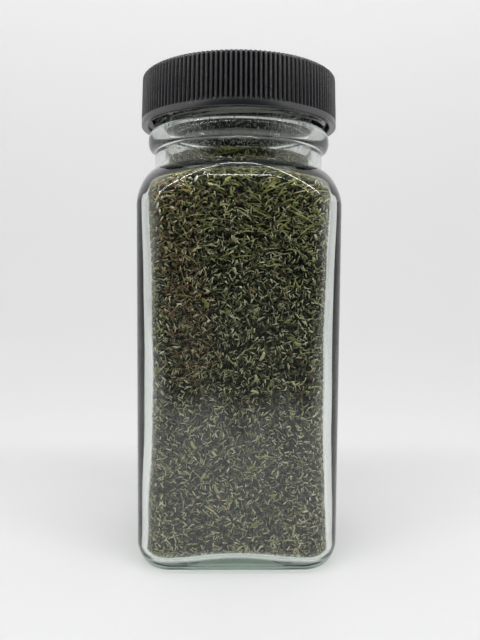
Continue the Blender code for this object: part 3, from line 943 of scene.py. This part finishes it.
@dataclass
class PackedDill:
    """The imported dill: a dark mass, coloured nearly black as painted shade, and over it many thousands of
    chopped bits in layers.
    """

    sizes: JarSizes = SIZES
    neck_slack: float = 0.7
    film_gap: float = 0.08
    film_top: float = 104.0
    around: int = 144
    swirl_mm: float = 5.0

    def section(self, height: float, inset: float) -> tuple[float, float]:
        """Half width and corner radius of the dill at one height, some way in from the glass."""
        s = self.sizes
        half, corner = s.cavity(height + min(max(height - s.cavity_shoulder_bottom, 0.0), 0.5))
        lean = min(max(s.floor_height + s.floor_rounding - height, 0.0) / s.floor_rounding, 1.0)
        drawn_in = s.floor_rounding * (1.0 - math.sqrt(1.0 - lean * lean))
        rise = s.cavity_shoulder_top - s.cavity_shoulder_bottom
        into_neck = (height - s.cavity_shoulder_bottom) / rise
        slack = self.neck_slack * min(max(into_neck - 0.3, 0.0) / 0.5, 1.0)
        half = half - inset - drawn_in - slack
        return half, min(max(corner - inset - drawn_in * 0.5, 0.8), half)

    def heap(self, x: np.ndarray, y: np.ndarray) -> np.ndarray:
        """Height of the loose top in the neck."""
        away = np.hypot(x, y) / self.sizes.mouth_radius
        ripple = 0.4 * np.sin(0.55 * x + 1.0) * np.cos(0.47 * y - 0.4)
        return self.sizes.dill_edge_height + (self.sizes.dill_heap * (1.0 - away**2) + ripple * (1.0 - away))

    def skin(self, name: str, inset: float, material: Material) -> Object:
        """Build a closed skin of the dill, inset from the glass.

        Args:
            name: The object's name.
            inset: Distance in from the glass, in millimetres.
            material: The skin's material.

        Returns:
            The skin.
        """
        s = self.sizes
        angles = jar_angles(self.around // 4)
        low = s.floor_height + inset
        rise = s.cavity_shoulder_top - s.cavity_shoulder_bottom
        turns = np.radians(np.linspace(6.0, 90.0, 16))
        heights = np.concatenate(
            [
                np.linspace(low, low + 3.0, 7),
                np.linspace(low + 5.0, s.cavity_shoulder_bottom, 40),
                s.cavity_shoulder_bottom + rise * np.sin(turns) ** (2.0 / s.cavity_shoulder_roundness),
                np.linspace(s.cavity_shoulder_top + 0.8, s.dill_edge_height - inset, 5),
            ]
        )
        rings = []
        foot_half, foot_corner = self.section(float(heights[0]), inset)
        for share in (0.1, 0.3, 0.5, 0.7, 0.88):
            reach = square_reach(foot_half * share, max(foot_corner, foot_half * share * 0.4), angles)
            ring = ring_at(reach, angles, inset)
            ring[:, 2] += [s.floor_level(r) for r in reach]
            rings.append(ring)
        for height in heights:
            half, corner = self.section(float(height), inset)
            rings.append(ring_at(square_reach(half, corner, angles), angles, height))
        edge = self.section(float(heights[-1]), inset)[0]
        for share in (0.93, 0.8, 0.62, 0.42, 0.2):
            ring = ring_at(np.full_like(angles, edge * share), angles, -inset)
            ring[:, 2] += self.heap(ring[:, 0], ring[:, 1])
            rings.append(ring)
        tip = self.heap(np.zeros(1), np.zeros(1))[0] - inset
        points, faces = closed_skin(rings, (0.0, 0.0, s.floor_level(0.0) + inset), (0.0, 0.0, tip))
        return mesh_object(name, s.corner_dip(points), faces, material)

    def neck_film(self, name: str, material: Material) -> Object:
        """Build the surface just inside the neck, above the herbs, that dust clings to."""
        angles = jar_angles(self.around // 4)
        radius = self.sizes.mouth_radius - self.film_gap
        heights = np.linspace(self.sizes.dill_edge_height - 0.5, self.film_top, 6)
        rings = [ring_at(np.full_like(angles, radius), angles, height) for height in heights]
        return mesh_object(name, np.concatenate(rings), ring_faces(len(angles), len(rings)), material)

    def bit(self, form: BitForm) -> Object:
        """Build one bit along X, its ends drawn in and its middle bent."""
        round_points, steps, length, width, thickness, bend = form.value
        rings = []
        for step in range(steps + 1):
            share = step / steps
            full = 0.55 if step in (0, steps) and steps > 1 else 1.0
            swing = bend * length * math.sin(math.pi * share)
            for point in range(round_points):
                turn = 2.0 * math.pi * (point + 0.5) / round_points
                rings.append(
                    (
                        length * (share - 0.5),
                        swing - bend * length * 0.6 + width / 2.0 * full * math.cos(turn),
                        thickness / 2.0 * full * math.sin(turn),
                    )
                )
        faces = ring_faces(round_points, steps + 1, flip=True)
        faces.append(list(range(round_points)))
        faces.append([steps * round_points + i for i in range(round_points)][::-1])
        mesh = bpy.data.meshes.new("bit")
        mesh.from_pydata([tuple(c * MM for c in co) for co in rings], [], faces)
        mesh.shade_smooth()
        return bpy.data.objects.new("bit", mesh)

    def crowd_tree(self) -> NodeTree:
        """Make the tree that scatters one form of bit over a skin."""
        tree = bpy.data.node_groups.new("bits_over_a_skin", "GeometryNodeTree")
        numbers = ("Bits per square metre", "Tilt", "Stray", "Swirl", "Least size", "Most size")
        inputs = [("Skin", "Geometry"), ("Bit", "Object"), *((name, "Float") for name in numbers)]
        name_inputs(tree, (*inputs, ("Seed", "Int"), ("Finish", "Material")))
        given = add_node(tree, "NodeGroupInput")
        crowd = add_node(tree, "GeometryNodeInputNamedAttribute", {"Name": "crowd"}, data_type="FLOAT")
        density = add_node(
            tree,
            "ShaderNodeMath",
            {0: crowd.outputs[0], 1: given.outputs["Bits per square metre"]},
            operation="MULTIPLY",
        )
        places = add_node(
            tree,
            "GeometryNodeDistributePointsOnFaces",
            {"Mesh": given.outputs["Skin"], "Density": density.outputs[0], "Seed": given.outputs["Seed"]},
            distribute_method="RANDOM",
        )
        most = add_node(
            tree,
            "ShaderNodeCombineXYZ",
            {"X": given.outputs["Tilt"], "Y": given.outputs["Tilt"], "Z": given.outputs["Stray"]},
        )
        least = add_node(tree, "ShaderNodeVectorMath", {0: most.outputs[0], "Scale": -1.0}, operation="SCALE")
        turns = add_node(
            tree,
            "FunctionNodeRandomValue",
            {0: least.outputs[0], 1: most.outputs[0], "Seed": given.outputs["Seed"]},
            data_type="FLOAT_VECTOR",
        )
        swirl = add_node(
            tree,
            "ShaderNodeTexNoise",
            {
                "Vector": add_node(tree, "GeometryNodeInputPosition").outputs[0],
                "Scale": 1.0 / (self.swirl_mm * MM),
                "Detail": 1.0,
            },
        )
        centred = add_node(tree, "ShaderNodeMath", {0: swirl.outputs[0], 1: 0.5}, operation="SUBTRACT")
        lay = add_node(
            tree, "ShaderNodeMath", {0: centred.outputs[0], 1: given.outputs["Swirl"]}, operation="MULTIPLY"
        )
        laid = add_node(tree, "ShaderNodeCombineXYZ", {"Z": lay.outputs[0]})
        summed = add_node(
            tree, "ShaderNodeVectorMath", {0: turns.outputs[0], 1: laid.outputs[0]}, operation="ADD"
        )
        turned = add_node(tree, "FunctionNodeEulerToRotation", {0: summed.outputs[0]})
        heading = add_node(
            tree,
            "FunctionNodeRotateRotation",
            {"Rotation": places.outputs["Rotation"], "Rotate By": turned.outputs[0]},
            rotation_space="LOCAL",
        )
        sizes = []
        for axis in range(2):
            reseed = add_node(
                tree, "ShaderNodeMath", {0: given.outputs["Seed"], 1: 11.0 + axis}, operation="ADD"
            )
            sizes.append(
                add_node(
                    tree,
                    "FunctionNodeRandomValue",
                    {2: given.outputs["Least size"], 3: given.outputs["Most size"], "Seed": reseed.outputs[0]},
                    data_type="FLOAT",
                ).outputs[1]
            )
        scale = add_node(tree, "ShaderNodeCombineXYZ", {"X": sizes[0], "Y": sizes[1], "Z": sizes[1]})
        bit = add_node(tree, "GeometryNodeObjectInfo", {"Object": given.outputs["Bit"]})
        bits = add_node(
            tree,
            "GeometryNodeInstanceOnPoints",
            {
                "Points": places.outputs["Points"],
                "Instance": bit.outputs["Geometry"],
                "Rotation": heading.outputs[0],
                "Scale": scale.outputs[0],
            },
        )
        pick = add_node(tree, "ShaderNodeMath", {0: given.outputs["Seed"], 1: 29.0}, operation="ADD")
        tint = add_node(
            tree, "FunctionNodeRandomValue", {2: 0.0, 3: 1.0, "Seed": pick.outputs[0]}, data_type="FLOAT"
        )
        tinted = add_node(
            tree,
            "GeometryNodeStoreNamedAttribute",
            {"Geometry": bits.outputs[0], "Name": "tint", "Value": tint.outputs[1]},
            data_type="FLOAT",
            domain="INSTANCE",
        )
        real = add_node(tree, "GeometryNodeRealizeInstances", {0: tinted.outputs[0]})
        finish = add_node(
            tree, "GeometryNodeSetMaterial", {"Geometry": real.outputs[0], "Material": given.outputs["Finish"]}
        )
        add_node(tree, "NodeGroupOutput", {0: finish.outputs[0]})
        return tree

    def scatter(self, crowd: BitCrowd, tree: NodeTree) -> Object:
        """Scatter one kind of bit over the dill."""
        finish = crowd.finish.build()
        if crowd.form is BitForm.DUST:
            piece = self.neck_film(crowd.name, finish)
        else:
            piece = self.skin(crowd.name, crowd.inset, finish)
        points = np.empty(len(piece.data.vertices) * 3, np.float32)
        piece.data.vertices.foreach_get("co", points)
        weights = crowd.where(points.reshape(-1, 3) / MM)
        share = piece.data.attributes.new("crowd", "FLOAT", "POINT")
        share.data.foreach_set("value", weights.astype(np.float32))
        area = 0.0
        for polygon in piece.data.polygons:
            area += polygon.area * float(np.mean([weights[v] for v in polygon.vertices]))
        bit = self.bit(crowd.form)
        bpy.context.scene.collection.objects.link(bit)
        grow(
            piece,
            tree,
            {
                "Bit": bit,
                "Bits per square metre": crowd.count / area,
                "Tilt": math.radians(crowd.tilt),
                "Stray": math.radians(crowd.stray),
                "Swirl": crowd.swirl,
                "Least size": crowd.sizes[0],
                "Most size": crowd.sizes[1],
                "Seed": crowd.seed,
                "Finish": finish,
            },
        )
        bpy.data.objects.remove(bit, do_unlink=True)
        return piece

    def build(self) -> list[Object]:
        """Build the dark mass and every crowd of bits, which stand for the CAD dill."""
        # painted shade: the mass under the bits is nearly black, standing for the shade deep between them
        shade = DriedHerb("dill_in_shade", ((0.0, "15170c"), (1.0, "24261a")), mottle_mm=0.8, roughness=0.9)
        mass = self.skin("dill_mass", 1.7, shade.build())
        tree = self.crowd_tree()
        pieces = [mass] + [self.scatter(crowd, tree) for crowd in CROWDS]
        for piece in pieces:
            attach(piece, "jar")
        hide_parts("dried_dill")
        return pieces


GREEN = ((0.0, "2e3022"), (0.4, "68694c"), (0.75, "b0ae82"), (1.0, "f2eec8"))
# painted shade: darker copies of the dill colours for the deeper layers of bits, which lie in shade
GREEN_IN_PAINTED_SHADE = ((0.0, "0e0f09"), (0.5, "1a1b12"), (1.0, "2b2c1d"))
GREEN_IN_PAINTED_HALF_SHADE = ((0.0, "16180f"), (0.5, "2a2c20"), (1.0, "4c4e34"))
OLIVE = ((0.0, "3c3e24"), (0.45, "7c7e42"), (0.8, "b6b068"), (1.0, "eae2ac"))
STRAW = ((0.0, "a49c7c"), (0.5, "d6cfb2"), (1.0, "f2efe0"))
BROWN = ((0.0, "4a3228"), (0.5, "7e5a46"), (1.0, "b48e6e"))
DUST = ((0.0, "98a08e"), (0.5, "c2c8b8"), (1.0, "e6e9de"))
LEAF = ((0.0, "5c6038"), (0.45, "90904e"), (0.8, "c0b88a"), (1.0, "dcd4b0"))

CROWDS = (
    # painted shade: the deep and middle layers take the darker copies of the dill colours
    BitCrowd(
        "dill_bits_deep", BitForm.NEEDLE, DriedHerb("dill_in_half_dark", GREEN_IN_PAINTED_SHADE),
        count=15000, inset=1.75, tilt=35.0, sizes=(0.7, 1.4), seed=3, where=everywhere,
    ),
    BitCrowd(
        "dill_bits_middle", BitForm.NEEDLE, DriedHerb("dill_in_half_shade", GREEN_IN_PAINTED_HALF_SHADE),
        count=14000, inset=1.15, tilt=28.0, sizes=(0.65, 1.35), seed=5, where=everywhere,
    ),
    BitCrowd(
        "dill_bits_front", BitForm.FINE, DriedHerb("dried_dill", GREEN),
        count=22500, inset=0.6, tilt=12.0, sizes=(0.6, 1.25), seed=8, where=everywhere,
    ),
    BitCrowd(
        "dill_bits_on_glass", BitForm.FINE, DriedHerb("dried_dill_on_glass", GREEN),
        count=21000, inset=0.4, tilt=6.0, sizes=(0.5, 1.2), seed=9, where=thin_at_top,
    ),
    BitCrowd(
        "dill_strands", BitForm.STRAND, DriedHerb("dried_dill_strands", OLIVE),
        count=2500, inset=0.45, tilt=7.0, sizes=(0.4, 1.35), seed=13, where=near_top, stray=30.0, swirl=4.0,
    ),
    BitCrowd(
        "dill_stems", BitForm.CHIP, DriedHerb("dried_stem", STRAW),
        count=520, inset=0.45, tilt=8.0, sizes=(0.45, 1.1), seed=21, where=everywhere,
    ),
    BitCrowd(
        "dill_flakes", BitForm.FLAKE, DriedHerb("dried_leaf", LEAF),
        count=260, inset=0.38, tilt=4.0, sizes=(0.55, 1.35), seed=34, where=everywhere,
    ),
    BitCrowd(
        "dill_dust", BitForm.DUST, DriedHerb("dill_dust", DUST),
        count=5500, inset=0.0, tilt=8.0, sizes=(0.6, 1.5), seed=89, where=towards_herbs,
    ),
    BitCrowd(
        "dill_brown_bits", BitForm.SHORT, DriedHerb("dried_brown_leaf", BROWN),
        count=2600, inset=0.42, tilt=9.0, sizes=(0.55, 1.2), seed=55, where=brown_seam,
    ),
)


@dataclass
class Studio:
    """A white tabletop that sweeps up into a backdrop, under an overhead strip and a thin front one."""

    front: float = -1.4
    sweep_start: float = 0.17
    sweep_radius: float = 0.42
    wall_top: float = 1.5
    half_width: float = 1.6
    room_wall: float = 0.74
    dark_front: tuple[float, float] = (-0.92, -0.35)
    room_levels: tuple[float, float] = (0.015, 0.9)
    dim_above: tuple[float, float] = (0.35, 0.95)
    above_level: float = 0.45

    def build_card(self) -> Object:
        """Build the floor and backdrop as one curved card."""
        profile = [(y, 0.0) for y in np.linspace(self.front, self.sweep_start, 24)]
        for rise, short in quarter_arc(self.sweep_radius, np.linspace(6.0, 90.0, 15)):
            profile.append((self.sweep_start + self.sweep_radius - short, rise))
        profile.append((self.sweep_start + self.sweep_radius, self.wall_top))
        points = []
        for side in (-self.half_width, self.half_width):
            points += [(side / MM, y / MM, z / MM) for y, z in profile]
        count = len(profile)
        faces = [[i, i + count, i + count + 1, i + 1] for i in range(count - 1)]
        card = mesh_object("studio_card", np.array(points), faces, StudioCard().build())
        return card

    def build_world(self) -> None:
        """Make the room's soft light: white at the sides and behind, dim above, dark in front of the jar.

        Where the camera sees the room directly, it is pale all round.
        """
        world = bpy.data.worlds.new("room")
        bpy.context.scene.world = world
        world.use_nodes = True
        tree = world.node_tree
        way = add_node(tree, "ShaderNodeTexCoord").outputs["Generated"]
        parts = add_node(tree, "ShaderNodeSeparateXYZ", {0: way})
        around = add_node(
            tree,
            "ShaderNodeMapRange",
            {
                "Value": parts.outputs["Y"],
                "From Min": self.dark_front[0],
                "From Max": self.dark_front[1],
                "To Min": self.room_levels[0],
                "To Max": self.room_levels[1],
            },
            interpolation_type="SMOOTHSTEP",
        )
        above = add_node(
            tree,
            "ShaderNodeMapRange",
            {
                "Value": parts.outputs["Z"],
                "From Min": self.dim_above[0],
                "From Max": self.dim_above[1],
                "To Min": 1.0,
                "To Max": self.above_level,
            },
            interpolation_type="SMOOTHSTEP",
        )
        level = add_node(
            tree, "ShaderNodeMath", {0: around.outputs[0], 1: above.outputs[0]}, operation="MULTIPLY"
        )
        straight = add_node(tree, "ShaderNodeLightPath").outputs["Is Camera Ray"]
        seen = add_node(tree, "ShaderNodeMix", {0: straight, 2: level.outputs[0], 3: self.room_wall})
        tree.links.new(seen.outputs[0], tree.nodes["Background"].inputs["Color"])

    def add_softbox(
        self,
        name: str,
        place: tuple[float, float, float],
        aim: tuple[float, float, float],
        size: tuple[float, float],
        power: float,
    ) -> Object:
        """Add one rectangular softbox.

        Args:
            name: The lamp's name.
            place: Where it hangs, in metres.
            aim: The point that it faces.
            size: Its width and height.
            power: Its power in watts.

        Returns:
            The lamp.
        """
        light = bpy.data.lights.new(name, "AREA")
        light.shape = "RECTANGLE"
        light.size, light.size_y = size
        light.energy = power
        lamp = bpy.data.objects.new(name, light)
        lamp.location = place
        lamp.rotation_euler = (Vector(aim) - Vector(place)).to_track_quat("-Z", "Y").to_euler()
        bpy.context.scene.collection.objects.link(lamp)
        return lamp

    def build(self) -> None:
        """Build the set and its lights."""
        self.build_card()
        self.build_world()
        self.add_softbox("overhead_strip", (0.0, -0.27, 0.62), (0.0, -0.02, 0.06), (1.15, 0.044), 2.8)
        self.add_softbox("front_strip", (0.0, -0.52, 0.42), (0.0, -0.02, 0.08), (1.7, 0.012), 0.75)


@dataclass
class PhotoCamera:
    """The camera, where the photograph was taken from."""

    place: tuple[float, float, float] = (-2.665, -154.83, 64.73)
    pitch: float = 0.0695
    roll: float = 0.0072
    yaw: float = -0.0213
    focal_pixels: float = 634.05
    picture_height: float = 640.0

    def build(self) -> Object:
        """Add the camera and make it the scene's."""
        lens = bpy.data.cameras.new("camera")
        lens.sensor_width = 36.0
        lens.lens = 36.0 * self.focal_pixels / self.picture_height
        lens.clip_start = 0.005
        lens.clip_end = 20.0
        camera = bpy.data.objects.new("camera", lens)
        turn = (
            Matrix.Rotation(self.yaw, 4, "Z")
            @ Matrix.Rotation(math.radians(90.0) - self.pitch, 4, "X")
            @ Matrix.Rotation(self.roll, 4, "Z")
        )
        camera.matrix_world = Matrix.Translation(Vector(self.place) * MM) @ turn
        bpy.context.scene.collection.objects.link(camera)
        bpy.context.scene.camera = camera
        return camera


def dress_liner() -> None:
    """Give the CAD liner its foam finish."""
    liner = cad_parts["cap_liner"]
    liner.data.materials.clear()
    liner.data.materials.append(LinerFoam().build())


def main() -> None:
    """Build the set and every piece, and report each through the log."""
    logging.basicConfig(level=logging.INFO, format="%(message)s")
    scene = bpy.context.scene
    scene.view_settings.view_transform = "Standard"
    PhotoCamera().build()
    Studio().build()
    made = [GlassJar().build(), *ScrewCap().build(), *PackedDill().build()]
    dress_liner()
    for piece in made:
        piece.data.calc_loop_triangles()
        LOG.info("%s: %d triangles", piece.name, len(piece.data.loop_triangles))


if __name__ == "__main__":
    main()
